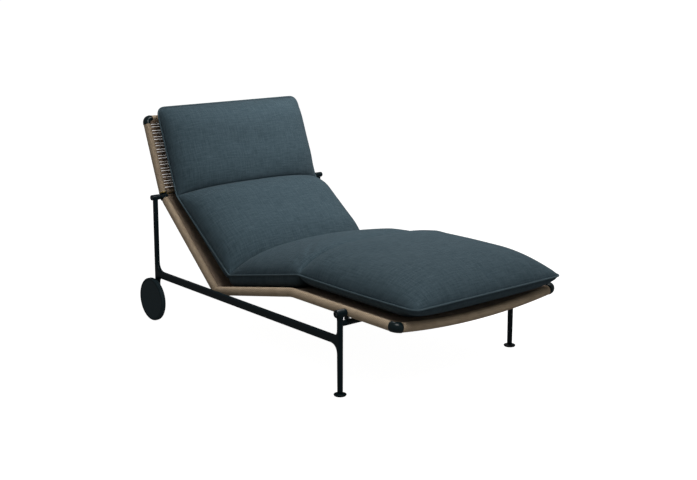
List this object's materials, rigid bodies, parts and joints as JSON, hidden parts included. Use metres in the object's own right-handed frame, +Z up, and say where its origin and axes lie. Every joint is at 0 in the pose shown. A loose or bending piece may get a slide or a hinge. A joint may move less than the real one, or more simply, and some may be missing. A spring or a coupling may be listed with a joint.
{
  "type": "sun lounger",
  "caption": "Reclining sun lounger: cast side frames, rope-wrapped contour frame with rope sling, jointed padded mattress, tilting head section and rear wheels.",
  "frame": {"origin": "middle of the footprint, on the ground under the feet and wheels", "axes": "+Z up, -Y towards the foot end, +Y towards the head end, +X to the sitter's left"},
  "size_m": [0.854, 1.5328, 0.8149],
  "materials": {
    "powder_coat": "satin near-black teal powder coat on cast aluminium",
    "rope_wrap": "tan outdoor rope wound tightly round the tubes",
    "rope_sling": "brown outdoor rope strands across the sling",
    "mattress_fabric": "woven teal-grey outdoor fabric with piping",
    "tube_aluminium": "mill finish, hidden under the rope",
    "steel": "blackened stainless steel",
    "bronze": "plain bearing bronze",
    "glide_nylon": "black nylon",
    "wheel_plastic": "solid moulded wheel, near-black teal",
    "tyre_rubber": "moulded rubber tyre"
  },
  "bodies": {
    "base": {"back_hinge_left": "powder_coat", "back_hinge_right": "powder_coat", "back_pad": "mattress_fabric", "back_sling": "rope_sling", "back_tube_left": "tube_aluminium", "back_tube_right": "tube_aluminium", "back_wrap_left": "rope_wrap", "back_wrap_right": "rope_wrap", "friction_washer_left": "steel", "friction_washer_right": "steel", "front_bolt_left": "steel", "front_bolt_right": "steel", "front_crossbar": "powder_coat", "front_rail": "tube_aluminium", "front_rail_wrap": "rope_wrap", "glide_foot_left": "powder_coat", "glide_foot_right": "powder_coat", "glide_pad_left": "glide_nylon", "glide_pad_right": "glide_nylon", "hinge_bush_left": "bronze", "hinge_bush_right": "bronze", "leg_pad": "mattress_fabric", "rear_axle": "powder_coat", "rear_bolt_left": "steel", "rear_bolt_right": "steel", "seat_lug_left": "powder_coat", "seat_lug_right": "powder_coat", "seat_pad": "mattress_fabric", "seat_sling": "rope_sling", "seat_tube_left": "tube_aluminium", "seat_tube_right": "tube_aluminium", "seat_wrap_left": "rope_wrap", "seat_wrap_right": "rope_wrap", "side_frame_left": "powder_coat", "side_frame_right": "powder_coat", "toe_cap_left": "powder_coat", "toe_cap_right": "powder_coat", "wheel_axle_left": "steel", "wheel_axle_right": "steel"},
    "head": {"crown_cap_left": "powder_coat", "crown_cap_right": "powder_coat", "head_hinge_left": "powder_coat", "head_hinge_right": "powder_coat", "head_pad": "mattress_fabric", "head_sling": "rope_sling", "head_tube_left": "tube_aluminium", "head_tube_right": "tube_aluminium", "head_wrap_left": "rope_wrap", "head_wrap_right": "rope_wrap", "lower_rail": "tube_aluminium", "lower_rail_wrap": "rope_wrap", "top_rail": "tube_aluminium", "top_rail_wrap": "rope_wrap"},
    "wheel_left": {"wheel_disc_left": "wheel_plastic", "wheel_tyre_left": "tyre_rubber", "wheel_bush_left": "glide_nylon"},
    "wheel_right": {"wheel_disc_right": "wheel_plastic", "wheel_tyre_right": "tyre_rubber", "wheel_bush_right": "glide_nylon"}
  },
  "joints": [
    {"name": "head_tilt", "type": "hinge", "parent": "base", "child": "head", "pos_m": [0, 0.61492, 0.48], "axis": [-1, 0, 0], "range_deg": [0, 28]},
    {"name": "wheel_left_spin", "type": "hinge", "parent": "base", "child": "wheel_left", "pos_m": [0.4178, 0.61892, 0.083], "axis": [1, 0, 0], "continuous": true},
    {"name": "wheel_right_spin", "type": "hinge", "parent": "base", "child": "wheel_right", "pos_m": [-0.4178, 0.61892, 0.083], "axis": [1, 0, 0], "continuous": true}
  ]
}
